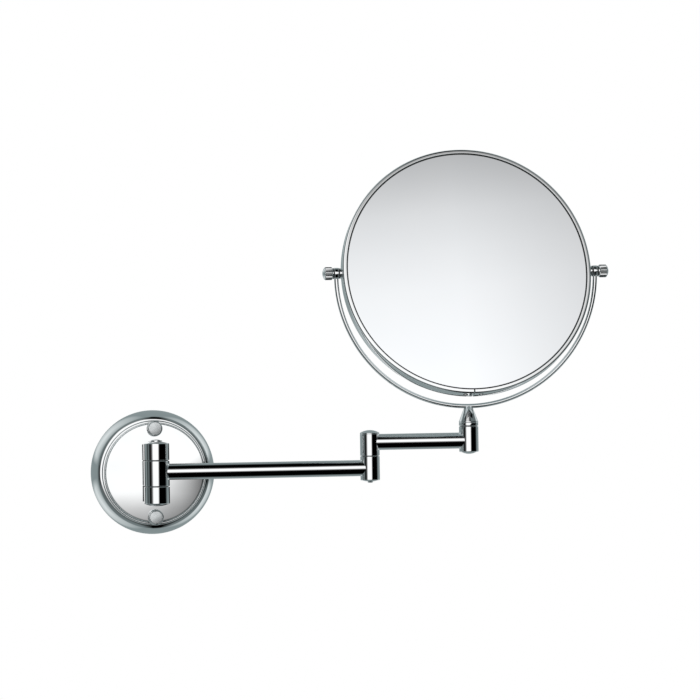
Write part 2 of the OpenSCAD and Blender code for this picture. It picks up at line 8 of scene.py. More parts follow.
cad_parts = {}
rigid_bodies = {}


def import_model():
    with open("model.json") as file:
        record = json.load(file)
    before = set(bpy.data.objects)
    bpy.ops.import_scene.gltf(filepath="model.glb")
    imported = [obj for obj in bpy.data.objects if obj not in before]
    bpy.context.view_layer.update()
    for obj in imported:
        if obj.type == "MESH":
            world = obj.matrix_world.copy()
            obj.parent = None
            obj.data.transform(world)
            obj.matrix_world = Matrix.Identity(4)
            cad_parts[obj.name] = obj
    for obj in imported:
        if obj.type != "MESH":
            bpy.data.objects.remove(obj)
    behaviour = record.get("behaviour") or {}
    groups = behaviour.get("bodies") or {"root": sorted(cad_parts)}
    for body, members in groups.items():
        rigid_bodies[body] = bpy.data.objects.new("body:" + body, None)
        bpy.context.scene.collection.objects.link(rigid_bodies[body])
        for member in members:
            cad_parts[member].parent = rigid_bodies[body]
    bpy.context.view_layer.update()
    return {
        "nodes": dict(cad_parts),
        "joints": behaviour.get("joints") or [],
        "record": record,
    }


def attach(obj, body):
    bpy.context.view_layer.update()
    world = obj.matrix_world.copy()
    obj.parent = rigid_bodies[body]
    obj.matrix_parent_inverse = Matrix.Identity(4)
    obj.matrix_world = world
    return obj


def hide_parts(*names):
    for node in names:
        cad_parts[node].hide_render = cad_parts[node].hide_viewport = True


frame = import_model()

# Looks of a wall-mounted extendable shaving mirror. Lengths are in millimetres until a mesh is written.
# The wall is the plane y = 0, the room is towards -Y, the arms lie along +X and +Z is up. Every metal and
# glass piece that can be seen is turned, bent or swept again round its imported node. The pieces hidden
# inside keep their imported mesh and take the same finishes.

MM = 0.001


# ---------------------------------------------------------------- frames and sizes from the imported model

record = frame["record"]
SLOT_OF = {part["node"]: part["material_slot"] for part in record["subparts"]}
BODY_OF = {n: body for body, nodes in record["behaviour"]["bodies"].items() for n in nodes}
JOINT_AT = {joint["name"]: Vector(joint["pos_m"]) / MM for joint in frame["joints"]}

# Local frames: Z is the axis that a piece is turned about
FACING_OUT = Matrix.Rotation(math.radians(90), 4, "X")
FACING_RIGHT = Matrix.Rotation(math.radians(90), 4, "Y")
WALL = FACING_OUT
POST = Matrix.Translation(JOINT_AT["wall_swivel"])
ELBOW = Matrix.Translation(JOINT_AT["elbow_swivel"])
STEM = Matrix.Translation(JOINT_AT["stem_swivel"])
PIVOT = Matrix.Translation(JOINT_AT["mirror_tilt"])


def glass_tilt():
    """How far the mirror's top leans towards the wall, from the front glass's flat face."""
    faces = frame["nodes"]["front_mirror"].data.polygons
    flat = max(faces, key=lambda face: face.area).normal
    return math.asin(abs(flat.z))


HEAD = PIVOT @ Matrix.Rotation(-glass_tilt(), 4, "X") @ FACING_OUT


def extent(node, place):
    """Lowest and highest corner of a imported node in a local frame."""
    back = place.inverted()
    spots = [back @ (vertex.co / MM) for vertex in frame["nodes"][node].data.vertices]
    return Vector(map(min, zip(*spots))), Vector(map(max, zip(*spots)))


def turned_size(node, place, side="y"):
    """Radius towards one side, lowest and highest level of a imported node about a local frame's axis."""
    low, high = extent(node, place)
    return -getattr(low, side), low.z, high.z


# ---------------------------------------------------------------- outlines, as (radius, level) points

ROUND_STEPS = 6


def arc(centre, radius, start, end, steps=ROUND_STEPS):
    """Points of an arc between two angles in degrees, from the radius axis towards the level axis."""
    angles = [math.radians(start + (end - start) * i / steps) for i in range(steps + 1)]
    return [(centre[0] + radius * math.cos(a), centre[1] + radius * math.sin(a)) for a in angles]


def rounded(corners):
    """A closed outline from corners (radius, level) or (radius, level, rounding)."""
    outline = []
    for i, corner in enumerate(corners):
        here = Vector(corner[:2])
        if len(corner) == 2:
            outline.append(tuple(here))
            continue
        to_last = (Vector(corners[i - 1][:2]) - here).normalized()
        to_next = (Vector(corners[(i + 1) % len(corners)][:2]) - here).normalized()
        half = to_last.angle(to_next) / 2
        centre = here + (to_last + to_next).normalized() * corner[2] / math.sin(half)
        first = here + to_last * corner[2] / math.tan(half) - centre
        last = here + to_next * corner[2] / math.tan(half) - centre
        turn = first.angle_signed(last)
        for k in range(ROUND_STEPS + 1):
            a = -turn * k / ROUND_STEPS
            spot = centre + Matrix.Rotation(a, 2) @ first
            outline.append(tuple(spot))
    return outline


def flipped(outline):
    return [(r, -level) for r, level in outline]


def lifted(outline, by):
    return [(r, level + by) for r, level in outline]


def bar(radius, low, high, rounding, bore=0):
    """Outline of a plain turned bar or ring with rounded outer edges."""
    inner = [(bore, high), (bore, low)]
    return rounded([(radius, low, rounding), (radius, high, rounding)] + inner)


# ---------------------------------------------------------------- meshes

FINE = 256
COARSE = 96
scene_objects = bpy.context.scene.collection.objects


def new_object(vertices, faces, place):
    mesh = bpy.data.meshes.new("made")
    mesh.from_pydata([(place @ Vector(v)) * MM for v in vertices], [], faces)
    work = bmesh.new()
    work.from_mesh(mesh)
    bmesh.ops.remove_doubles(work, verts=work.verts, dist=1e-4 * MM)
    bmesh.ops.recalc_face_normals(work, faces=work.faces)
    work.to_mesh(mesh)
    work.free()
    made = bpy.data.objects.new("made", mesh)
    scene_objects.link(made)
    return made


def grid(rows, closed_along, place, capped=False):
    """A skin over rows of points. Each row is a closed ring, and the rows close on themselves or not."""
    width = len(rows[0])
    vertices = [spot for row in rows for spot in row]
    faces = []
    for i in range(len(rows) if closed_along else len(rows) - 1):
        here, there = i * width, (i + 1) % len(rows) * width
        for k in range(width):
            after = (k + 1) % width
            faces.append((here + k, here + after, there + after, there + k))
    if capped:
        faces.append(tuple(range(width)))
        faces.append(tuple(range(len(vertices) - width, len(vertices))))
    return new_object(vertices, faces, place)


def turned(outline, place, steps=FINE, start=0, sweep=360):
    """A body turned from a closed outline round the local Z axis."""
    whole = sweep == 360
    rows = []
    for i in range(steps if whole else steps + 1):
        a = math.radians(start + sweep * i / steps)
        rows.append([(r * math.cos(a), r * math.sin(a), level) for r, level in outline])
    return grid(rows, whole, place, capped=not whole)


def bolted(made, tool, operation):
    """The exact union or difference of two bodies. The second one is used up."""
    change = made.modifiers.new("change", "BOOLEAN")
    change.operation = operation
    change.solver = "EXACT"
    change.object = tool
    shown = bpy.context.evaluated_depsgraph_get()
    made_mesh = bpy.data.meshes.new_from_object(made.evaluated_get(shown))
    made.modifiers.clear()
    made.data = made_mesh
    bpy.data.objects.remove(tool)
    return made


def joined(made, *tools):
    for tool in tools:
        bolted(made, tool, "UNION")
    return made


def bored(made, *tools):
    for tool in tools:
        bolted(made, tool, "DIFFERENCE")
    return made


def group(*bodies):
    """Several separate bodies as one object."""
    work = bmesh.new()
    for body in bodies:
        work.from_mesh(body.data)
    mesh = bpy.data.meshes.new("made")
    work.to_mesh(mesh)
    work.free()
    for body in bodies:
        bpy.data.objects.remove(body)
    made = bpy.data.objects.new("made", mesh)
    scene_objects.link(made)
    return made


def drill(radius, low, high, place, steps=COARSE):
    return turned([(0, low), (radius, low), (radius, high), (0, high)], place, steps)


def block(low, high, place):
    """A cutting block between two corners."""
    corners = [(x, y, z) for z in (low[2], high[2]) for x, y in
               ((low[0], low[1]), (high[0], low[1]), (high[0], high[1]), (low[0], high[1]))]
    return grid([corners[:4], corners[4:]], False, place, capped=True)


def piece(made, node, *finishes):
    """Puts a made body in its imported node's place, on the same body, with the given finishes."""
    made.name = node + "_finished"
    made.data.name = made.name
    made.data.materials.clear()
    for finish in finishes:
        made.data.materials.append(finish)
    made.data.shade_smooth()
    made.data.set_sharp_from_angle(angle=math.radians(34))
    even = made.modifiers.new("even_flats", "WEIGHTED_NORMAL")
    even.keep_sharp = True
    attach(made, BODY_OF[node])
    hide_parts(node)
    return made


# ---------------------------------------------------------------- finishes

def add_node(tree, kind, inputs, **settings):
    """A shader node with its settings. Each input is linked to a socket or set to a value."""
    node = tree.nodes.new(kind)
    for key, value in settings.items():
        setattr(node, key, value)
    for key, value in inputs.items():
        if isinstance(value, bpy.types.NodeSocket):
            tree.links.new(value, node.inputs[key])
        else:
            node.inputs[key].default_value = value
    return node


class Finish:
    """A procedural material. Constants go straight on the shader, and patterns are in metres."""

    def __init__(self, name, **constants):
        self.material = bpy.data.materials.new(name)
        self.material.use_nodes = True
        self.tree = self.material.node_tree
        self.shader = self.tree.nodes["Principled BSDF"]
        self.space = self.tree.nodes.new("ShaderNodeTexCoord").outputs["Object"]
        for socket, value in constants.items():
            self.shader.inputs[socket.replace("_", " ")].default_value = value

    def add(self, kind, inputs, **settings):
        return add_node(self.tree, kind, inputs, **settings)

    def noise(self, size, detail=3, stretch=(1, 1, 1)):
        """Noise with features about that size in millimetres, drawn out along an axis by stretch."""
        scale = [1 / (size * MM * s) for s in stretch]
        spot = self.add("ShaderNodeVectorMath", {0: self.space, 1: scale}, operation="MULTIPLY")
        node = self.add("ShaderNodeTexNoise", {"Vector": spot.outputs[0], "Scale": 1, "Detail": detail})
        return node.outputs["Fac"]

    def spread(self, pattern, low, high, first=0.3, last=0.7):
        """The pattern's usual range spread over low to high."""
        inputs = {"Value": pattern, "From Min": first, "From Max": last, "To Min": low, "To Max": high}
        return self.add("ShaderNodeMapRange", inputs).outputs["Result"]

    def tint(self, pattern, low, high, first=0.3, last=0.7):
        """The base colour goes from low to high with the pattern. Sockets 6, 7 and 2 are the colour ones."""
        share = self.spread(pattern, 0, 1, first, last)
        inputs = {0: share, 6: (*low, 1), 7: (*high, 1)}
        mixed = self.add("ShaderNodeMix", inputs, data_type="RGBA").outputs[2]
        return self.link(mixed, "Base Color")

    def link(self, socket, name):
        self.tree.links.new(socket, self.shader.inputs[name])
        return self

    def rough(self, pattern, low, high):
        return self.link(self.spread(pattern, low, high), "Roughness")

    def bump(self, *layers):
        """Layers of (pattern, height in millimetres)."""
        normal = None
        for pattern, height in layers:
            inputs = {"Height": pattern, "Distance": height * MM}
            if normal is not None:
                inputs["Normal"] = normal
            normal = self.add("ShaderNodeBump", inputs).outputs["Normal"]
        return self.link(normal, "Normal")


def chrome_finish():
    f = Finish("chrome_plate", Metallic=1)
    f.tint(f.noise(24), (0.90, 0.915, 0.92), (0.95, 0.96, 0.965))
    f.rough(f.noise(9, 5), 0.012, 0.05)
    f.bump((f.noise(14, 1), 0.004), (f.noise(0.25, 2), 0.00006))
    return f.material


def satin_finish():
    f = Finish("satin_chrome", Metallic=1)
    f.tint(f.noise(7), (0.66, 0.69, 0.70), (0.74, 0.765, 0.775))
    f.rough(f.noise(3, 5), 0.26, 0.36)
    f.bump((f.noise(0.3, 3), 0.0015))
    return f.material


def zinc_finish():
    f = Finish("zinc_plated_steel", Metallic=1)
    f.tint(f.noise(6, 6), (0.44, 0.46, 0.49), (0.66, 0.68, 0.70))
    f.rough(f.noise(3, 6), 0.28, 0.5)
    f.bump((f.noise(0.6, 4), 0.006))
    return f.material


def steel_finish():
    f = Finish("bright_steel", Metallic=1)
    f.tint(f.noise(5, 4), (0.52, 0.52, 0.53), (0.68, 0.68, 0.68))
    f.rough(f.noise(1.5, 5, (1, 1, 6)), 0.18, 0.34)
    f.bump((f.noise(0.2, 3, (1, 1, 8)), 0.0012))
    return f.material


def nylon_finish():
    f = Finish("black_nylon")
    f.tint(f.noise(8, 3), (0.018, 0.018, 0.019), (0.034, 0.034, 0.035))
    f.rough(f.noise(1.2, 4), 0.38, 0.55)
    f.bump((f.noise(0.3, 3), 0.004))
    return f.material


def rubber_finish():
    f = Finish("matt_rubber")
    f.tint(f.noise(2.5, 6), (0.025, 0.025, 0.027), (0.06, 0.06, 0.063))
    f.rough(f.noise(1, 5), 0.7, 0.92)
    f.bump((f.noise(0.35, 4), 0.03))
    return f.material


def foam_finish():
    f = Finish("foam_sheet")
    f.tint(f.noise(1.5, 5), (0.05, 0.05, 0.055), (0.11, 0.11, 0.115))
    f.rough(f.noise(1, 3), 0.85, 1)
    f.bump((f.noise(0.5, 5), 0.08))
    return f.material


def plastic_finish():
    f = Finish("black_plastic")
    f.tint(f.noise(5, 3), (0.02, 0.02, 0.021), (0.035, 0.035, 0.037))
    f.rough(f.noise(0.8, 4), 0.34, 0.5)
    f.bump((f.noise(0.3, 4), 0.006))
    return f.material


def silvered_finish():
    f = Finish("silvered_glass", Metallic=1, Coat_Weight=1, Coat_Roughness=0, Coat_IOR=1.5)
    f.tint(f.noise(40, 2), (0.93, 0.95, 0.972), (0.94, 0.958, 0.978))
    f.rough(f.noise(18, 6), 0, 0.012)
    return f.material


# Painted shadow: a near-black ring laid on the glass next to the hoop's lip, standing in for the lip's shade
# on the glass edge
def painted_shadow_ring_finish():
    f = Finish("painted_shadow_glass_ring", IOR=1.5)
    f.tint(f.noise(5, 4), (0.006, 0.008, 0.008), (0.014, 0.017, 0.017))
    f.rough(f.noise(2, 4), 0.1, 0.25)
    f.bump((f.noise(0.6, 3), 0.0005))
    return f.material


def glass_edge_finish():
    f = Finish("ground_glass_edge", IOR=1.5)
    f.tint(f.noise(3, 5), (0.24, 0.42, 0.38), (0.38, 0.56, 0.51))
    f.rough(f.noise(0.8, 5), 0.3, 0.5)
    f.bump((f.noise(0.3, 4), 0.01))
    return f.material


chrome = chrome_finish()
satin = satin_finish()
zinc = zinc_finish()
steel = steel_finish()
nylon = nylon_finish()
rubber = rubber_finish()
silvered = silvered_finish()
glass_edge = glass_edge_finish()
painted_shadow_ring = painted_shadow_ring_finish()
FINISH_OF_SLOT = {
    "chrome": chrome,
    "zinc_steel": zinc,
    "steel": steel,
    "nylon": nylon,
    "rubber": rubber,
    "foam": foam_finish(),
    "black_plastic": plastic_finish(),
    "plain_mirror": silvered,
    "magnifying_mirror": silvered,
}
for node_name, node_object in frame["nodes"].items():
    node_object.data.materials.clear()
    node_object.data.materials.append(FINISH_OF_SLOT[SLOT_OF[node_name]])


# ---------------------------------------------------------------- wall plate and its screws

SHEET = 1.5
DISC_INSET = 10.5
DISC_EDGE = 0.9
DISC_CROWN = 1.5
SHOULDER_R = 4
SHOULDER_INSET = 8.3
SHOULDER_LEVEL = 11
SHOULDER_LEAN = 56
BEAD_R = 1.3
BEAD_INSET = 9.3
BEAD_LEVEL = 16.1
NECK_R = 5
SLEEVE_BORE = 2.8
RUNNING = 0.02
OVERSHOOT = 1
PLATE_DRILL = 5


def ball_of(radius, rise):
    return (radius * radius + rise * rise) / (2 * rise)


def domed(radius, top, ball, rounding, steps=14):
    """Points from a turned body's side over its rounded rim and its dome to the axis."""
    lean = math.asin((radius - rounding) / (ball - rounding))
    level = top - ball + (ball - rounding) * math.cos(lean)
    rest = 90 - math.degrees(lean)
    rim = arc((radius - rounding, level), rounding, 0, rest)
    return rim + arc((0, top - ball), ball, rest, 90, steps)[1:]


def lower_edge(radius, level, rounding):
    """Points of a turned body's rounded lower edge."""
    return arc((radius - rounding, level + rounding), rounding, -90, 0)


def outside(outline, radius):
    """The part of an outline further than a radius from the axis."""
    return [spot for spot in outline if spot[0] > radius]


def plate_half(radius, front, inset):
    """Half outline of the plate, from the wall to the middle of its front, drawn smaller by inset."""
    lean = Vector((math.sin(math.radians(SHOULDER_LEAN)), math.cos(math.radians(SHOULDER_LEAN))))
    shoulder = Vector((radius - SHOULDER_INSET, SHOULDER_LEVEL))
    skirt = shoulder + SHOULDER_R * lean
    rim = Vector((radius, 0)) - skirt
    skirt_r = -rim.length_squared / (2 * rim.dot(lean))
    centre = skirt - skirt_r * lean
    foot = math.degrees(math.atan2(-centre.y, radius - centre.x))
    points = arc(centre, skirt_r - inset, foot, 90 - SHOULDER_LEAN, 24)
    points = [(r, max(0, level)) for r, level in points]
    if inset:
        points += arc(shoulder, SHOULDER_R - inset, 90 - SHOULDER_LEAN, 90, 10)
        points.append((radius - DISC_INSET - inset, shoulder.y + SHOULDER_R - inset))
    else:
        bead = Vector((radius - BEAD_INSET, BEAD_LEVEL))
        gap = bead - shoulder
        reach = gap.length
        towards = math.degrees(math.atan2(gap.y, gap.x))
        on_shoulder = (reach * reach + SHOULDER_R ** 2 - BEAD_R ** 2) / (2 * reach * SHOULDER_R)
        on_bead = (reach * reach + BEAD_R ** 2 - SHOULDER_R ** 2) / (2 * reach * BEAD_R)
        stop = towards - math.degrees(math.acos(on_shoulder))
        points += arc(shoulder, SHOULDER_R, 90 - SHOULDER_LEAN, stop, 10)
        begin = towards - 180 + math.degrees(math.acos(on_bead))
        end = math.degrees(math.acos((radius - DISC_INSET - bead.x) / BEAD_R))
        points += arc(bead, BEAD_R, begin, end, 18)
    disc_r = radius - DISC_INSET - inset
    ball = ball_of(disc_r, DISC_CROWN)
    return points + domed(disc_r, front - inset, ball, DISC_EDGE, 46)


plate_r, _, plate_front = turned_size("wall_plate", WALL, "x")
cap_r, cap_low, cap_high = turned_size("screw_caps", WALL, "x")
screw_z = extent("screw_caps", WALL)[1].y - cap_r
flange_r, flange_low, cup_high = turned_size("cup_washers", WALL, "x")
bracket_head_r, bracket_head_low, bracket_screw_high = turned_size("bracket_screws", WALL, "x")
neck_z = extent("bracket_screws", WALL)[1].y - bracket_head_r
backing_r, _, backing_t = turned_size("backing_plate", WALL, "x")


def at_heights(z):
    """The two places at a distance above and below the middle of the wall plate."""
    return [WALL @ Matrix.Translation((0, side * z, 0)) for side in (1, -1)]


SLEEVE_HOLE = 3.7
NECK_GAP = 0.3
plate = turned(plate_half(plate_r, plate_front, 0) + plate_half(plate_r, plate_front, SHEET)[::-1],
               WALL, steps=360)
for place in at_heights(screw_z):
    bored(plate, drill(SLEEVE_HOLE, plate_front - PLATE_DRILL, plate_front + PLATE_DRILL, place))
for place in at_heights(neck_z):
    bored(plate, drill(NECK_R + NECK_GAP, plate_front - PLATE_DRILL, plate_front + PLATE_DRILL, place))
piece(plate, "wall_plate", chrome)

seal_r, _, seal_t = turned_size("plate_seal", WALL, "x")
seal_in = backing_r + NECK_GAP
seal_outline = rounded([(seal_in, 0, 0.2), (seal_r, 0, 0.2), (seal_r, seal_t, 0.7), (seal_in, seal_t, 0.3)])
piece(turned(seal_outline, WALL, steps=360), "plate_seal", rubber)

BRACKET_SCREW_R = 2.5
BRACKET_SEAT_T = 1
HEX_SHARE = 0.34
HEX_DEPTH = 1.2
backing_outline = rounded([(0, 0), (backing_r, 0, 0.4), (backing_r, backing_t, 0.4), (0, backing_t)])
backing = turned(backing_outline, WALL, 360)
for place in at_heights(screw_z):
    bored(backing, drill(SLEEVE_BORE, -OVERSHOOT, backing_t + OVERSHOOT, place))
for place in at_heights(neck_z):
    bored(backing, drill(BRACKET_SCREW_R + RUNNING, -OVERSHOOT, backing_t + OVERSHOOT, place))
    bored(backing, drill(2 * BRACKET_SCREW_R, -OVERSHOOT, backing_t - BRACKET_SEAT_T, place))
piece(backing, "backing_plate", zinc)


def bracket_screw(place):
    head_high = backing_t - BRACKET_SEAT_T
    outline = rounded([(0, bracket_head_low), (bracket_head_r, bracket_head_low, 0.4),
                       (bracket_head_r, head_high), (BRACKET_SCREW_R, head_high),
                       (BRACKET_SCREW_R, bracket_screw_high, 0.5), (0, bracket_screw_high)])
    body = turned(outline, place, COARSE)
    socket = drill(HEX_SHARE * bracket_head_r, bracket_head_low - OVERSHOOT, bracket_head_low + HEX_DEPTH,
                   place, steps=6)
    return bored(body, socket)


piece(group(*[bracket_screw(place) for place in at_heights(neck_z)]), "bracket_screws", steel)

# The wall screws: a tapping thread behind the plate, a plain shank in the sleeve and a domed head
THREAD_PITCH = 1.8
THREAD_DEPTH = 0.6
THREAD_R = 2.25
RIDGE_SHARE = 0.36
TIP_H = 5
TIP_R = 0.05
RUN_OUT_H = 1.5
RUN_OUT_LEFT = 0.2
SHANK_R = 2.5
SHANK_FROM = 0.4
ROW_H = 0.15
screw_head_r, thread_low, head_high = turned_size("wall_screws", WALL, "x")
FLANGE_T = 1.6


def wall_screw(place):
    head_low = flange_low + FLANGE_T
    around = 40
    thread_rows = round(-thread_low / ROW_H)
    outline = [(TIP_R, thread_low)]
    outline += [(None, thread_low + (i + 1) * ROW_H) for i in range(thread_rows)]
    outline += [(SHANK_R, SHANK_FROM), (SHANK_R, head_low)]
    outline += domed(screw_head_r, head_high, ball_of(screw_head_r, head_high - head_low), 0.3)[:-1]
    rows = []
    for radius, level in outline:
        ring = []
        for k in range(around):
            turn = k / around
            spot_r = radius
            if radius is None:
                taper = min(1, (level - thread_low) / TIP_H, -level / RUN_OUT_H + RUN_OUT_LEFT)
                phase = (level / THREAD_PITCH - turn) % 1
                ridge = max(0, 1 - abs(phase - 0.5) / RIDGE_SHARE)
                spot_r = max(TIP_R, (THREAD_R - THREAD_DEPTH * (1 - ridge)) * max(taper, 0.02))
            a = 2 * math.pi * turn
            ring.append((spot_r * math.cos(a), spot_r * math.sin(a), level))
        rows.append(ring)
    return grid(rows, False, place, capped=True)


piece(group(*[wall_screw(place) for place in at_heights(screw_z)]), "wall_screws", steel)

CUP_RIM_WALL = 0.45
CUP_RIM_GAP = 1.45


def cup_washer(place):
    top = flange_low + FLANGE_T
    rim_r = flange_r - CUP_RIM_GAP
    outline = rounded([(SLEEVE_BORE, flange_low), (flange_r, flange_low, 0.15), (flange_r, top, 0.8),
                       (rim_r, top), (rim_r, cup_high, 0.1), (rim_r - CUP_RIM_WALL, cup_high, 0.1),
                       (rim_r - CUP_RIM_WALL, top), (SLEEVE_BORE, top)])
    return turned(outline, place, 128)


piece(group(*[cup_washer(place) for place in at_heights(screw_z)]), "cup_washers", chrome)

CAP_FRONT = 1.2
CAP_CROWN = 0.35
CAP_EDGE = 0.9
CAP_FOOT_EDGE = 0.2


def screw_cap(place):
    bore = flange_r - CUP_RIM_GAP + RUNNING
    inner = [(0, cap_high - CAP_FRONT), (bore, cap_high - CAP_FRONT), (bore, cap_low)]
    front = domed(cap_r, cap_high, ball_of(cap_r, CAP_CROWN), CAP_EDGE)
    return turned(inner + lower_edge(cap_r, cap_low, CAP_FOOT_EDGE) + front, place, 160)


piece(group(*[screw_cap(place) for place in at_heights(screw_z)]), "screw_caps", satin)


# ---------------------------------------------------------------- wall post

EDGE = 0.4
WASHER_GAP = 0.1
FOOT = (14, 50, 4)
PIN_R = 3
hub_r, hub_low, hub_top = turned_size("wall_hub", POST)
post_r = -extent("wall_bracket", POST)[0].y
plug_r, plug_low, plug_high = turned_size("wall_post_plug", POST)
post_end = -plug_low
POST_DOME = 2.2
post_ball = ball_of(post_r, POST_DOME)
washer_r, _, washer_high = turned_size("wall_friction_washers", POST)
knuckle_low = washer_high + WASHER_GAP
pin_seat = extent("wall_bracket", POST)[1].z
head_r, pin_low, pin_top = turned_size("wall_pin", POST)


def knuckle(cut_r, bore, pocket):
    """Upper half of the post's fixed part. Its dome stops at cut_r, over a bore or a pocket."""
    foot = lower_edge(post_r, knuckle_low, EDGE)
    side = outside(foot + domed(post_r, post_end, post_ball, 0.5, 40), cut_r)
    level = post_end - post_ball + math.sqrt(post_ball ** 2 - cut_r ** 2)
    return [(bore, knuckle_low)] + side + [(cut_r, level)] + pocket


HEAD_SEAT = 0.25
PIN_DOME = 0.8
NECK_STOP = 0.7
NUT_POCKET_H = 8
upper = turned(knuckle(head_r + HEAD_SEAT, PIN_R + RUNNING,
                       [(head_r + HEAD_SEAT, pin_seat), (PIN_R + RUNNING, pin_seat)]), POST)
pocket_r = plug_r + RUNNING
pocket_top = post_end - NUT_POCKET_H
lower = turned(flipped(knuckle(pocket_r, PIN_R + RUNNING,
                               [(pocket_r, pocket_top), (PIN_R + RUNNING, pocket_top)])), POST)
neck_end = -JOINT_AT["wall_swivel"].y - NECK_STOP * post_r
necks = [drill(NECK_R, backing_t + RUNNING, neck_end, place) for place in at_heights(neck_z)]
foot_block = block((-FOOT[0] / 2, -FOOT[1] / 2, backing_t + RUNNING / 2),
                   (FOOT[0] / 2, FOOT[1] / 2, backing_t + FOOT[2]), WALL)
piece(joined(upper, lower, *necks, foot_block), "wall_bracket", chrome)

pin_outline = [(0, pin_low), (PIN_R, pin_low), (PIN_R, pin_seat + RUNNING), (head_r, pin_seat + RUNNING)]
piece(turned(pin_outline + domed(head_r, pin_top, ball_of(head_r, PIN_DOME), 0.2), POST), "wall_pin", chrome)
plug_outline = [(0, -plug_high), (plug_r, -plug_high)] + domed(plug_r, post_end, post_ball, 0.15)
piece(turned(flipped(plug_outline), POST), "wall_post_plug", chrome)


def friction_ring(radius, bore, low, high, place):
    return turned(rounded([(bore, low), (radius, low, 0.08), (radius, high, 0.08), (bore, high)]), place)


washers = [friction_ring(washer_r, PIN_R + RUNNING, side * (hub_top + WASHER_GAP), side * washer_high, POST)
           for side in (1, -1)]
piece(group(*washers), "wall_friction_washers", nylon)


# ---------------------------------------------------------------- arms, elbow and stem

tube_r = extent("arm_1_tube", ELBOW)[1].z
TUBE_WALL = 1.05
TUBE_EDGE = 0.12
SPIGOT_GAP = 0.02
BUSH_WALL = 2


def across(place, level):
    """A frame at a height on a post, with its axis along +X."""
    return place @ Matrix.Translation((0, 0, level)) @ FACING_RIGHT


def spigot(place, level, start, end):
    outline = rounded([(0, start), (tube_r - TUBE_WALL - SPIGOT_GAP, start, 0.4),
                       (tube_r - TUBE_WALL - SPIGOT_GAP, end, 0.4), (0, end)])
    return turned(outline, across(place, level), COARSE)


arm_level = JOINT_AT["elbow_swivel"].z - JOINT_AT["wall_swivel"].z
hub = turned(bar(hub_r, hub_low, hub_top, EDGE), POST)
hub_bore = PIN_R + BUSH_WALL
hub_reach = extent("wall_hub", POST)[1].x
joined(hub, spigot(POST, arm_level, 0, hub_reach))
piece(bored(hub, drill(hub_bore, 2 * hub_low, 2 * hub_top, POST)), "wall_hub", chrome)


def saddle_tube(start, end, start_r, end_r):
    """A tube between two upright posts, cut to their round sides, with fine rounded ends."""
    base = across(start, 0)
    length = (end.translation - start.translation).x
    inside_r = tube_r - TUBE_WALL
    # Round the wall's section: radius, distance from the saddle, and whether it is the start's saddle
    section = [(tube_r - TUBE_EDGE, 0, True), (tube_r, TUBE_EDGE, True), (tube_r, TUBE_EDGE, False),
               (tube_r - TUBE_EDGE, 0, False), (inside_r, 0, False), (inside_r, 0, True)]
    rows = []
    for k in range(FINE):
        a = 2 * math.pi * k / FINE
        ring = []
        for radius, inset, at_start in section:
            y = radius * math.sin(a)
            if at_start:
                x = math.sqrt(start_r ** 2 - y * y) + RUNNING + inset
            else:
                x = length - math.sqrt(end_r ** 2 - y * y) - RUNNING - inset
            ring.append((radius * math.cos(a), y, x))
        rows.append(ring)
    return grid(rows, True, base)


barrel_r, lower_low, lower_top = turned_size("elbow_lower_barrel", ELBOW)
arm_1_start = POST @ Matrix.Translation((0, 0, arm_level))
piece(saddle_tube(arm_1_start, ELBOW, post_r, barrel_r), "arm_1_tube", chrome)

ELBOW_PIN_R = 2.5
BARREL_ROUND = 0.7
BARREL_LIP = 0.3
cap_plug_r, cap_plug_low, cap_plug_high = turned_size("elbow_bottom_cap", ELBOW)
SPIGOT_ROOT = 7
LOWER_POCKET_H = 6
lower_bore = ELBOW_PIN_R + RUNNING
lower_pocket_r = cap_plug_r + RUNNING
lower_outline = rounded([(lower_pocket_r, lower_low), (barrel_r, lower_low, BARREL_ROUND),
                         (barrel_r, lower_top, BARREL_LIP), (lower_bore, lower_top),
                         (lower_bore, lower_low + LOWER_POCKET_H),
                         (lower_pocket_r, lower_low + LOWER_POCKET_H)])
lower_spigot = spigot(ELBOW, 0, extent("elbow_lower_barrel", ELBOW)[0].x, -SPIGOT_ROOT)
piece(group(turned(lower_outline, ELBOW), lower_spigot), "elbow_lower_barrel", chrome)

NIB_R = 2.2
NIB_H = 1.0
NIB_ROUND = 0.6
BOTTOM_DOME = 1
nib_root = -cap_plug_low - NIB_H
plug_side = outside(domed(cap_plug_r, nib_root, ball_of(cap_plug_r, BOTTOM_DOME), 0.15, 20), NIB_R)
nib = arc((NIB_R - NIB_ROUND, -cap_plug_low - NIB_ROUND), NIB_ROUND, 0, 90) + [(0, -cap_plug_low)]
piece(turned(flipped([(0, -cap_plug_high), (cap_plug_r, -cap_plug_high)] + plug_side + nib), ELBOW),
      "elbow_bottom_cap", chrome)

ring_r, ring_low, ring_high = turned_size("elbow_friction_washer", ELBOW)
piece(friction_ring(ring_r, ELBOW_PIN_R + RUNNING, ring_low, ring_high, ELBOW),
      "elbow_friction_washer", nylon)

upper_r, upper_low, _ = turned_size("elbow_upper_barrel", ELBOW)
top_cap_r, top_skirt_low, top_cap_high = turned_size("elbow_top_cap", ELBOW)
TOP_CAP_H = 3
TOP_RIM_H = 0.8
CAP_POCKET_R = 5.8
SKIRT_WALL = 0.6
TOP_CAP_EDGE = 0.15
ELBOW_BUSH_R = 4.2
BUSH_FLANGE_T = 0.5
upper_top = top_cap_high - TOP_CAP_H
arm_2_level = JOINT_AT["stem_swivel"].z - JOINT_AT["elbow_swivel"].z
upper_floor = extent("elbow_bush", ELBOW)[1].z - BUSH_FLANGE_T
upper_outline = rounded([(ELBOW_BUSH_R, upper_low), (upper_r, upper_low, BARREL_LIP),
                         (upper_r, upper_top, BARREL_LIP), (CAP_POCKET_R, upper_top),
                         (CAP_POCKET_R, upper_floor), (ELBOW_BUSH_R, upper_floor)])
upper_spigot = spigot(ELBOW, arm_2_level, SPIGOT_ROOT, extent("elbow_upper_barrel", ELBOW)[1].x)
piece(group(turned(upper_outline, ELBOW), upper_spigot), "elbow_upper_barrel", chrome)

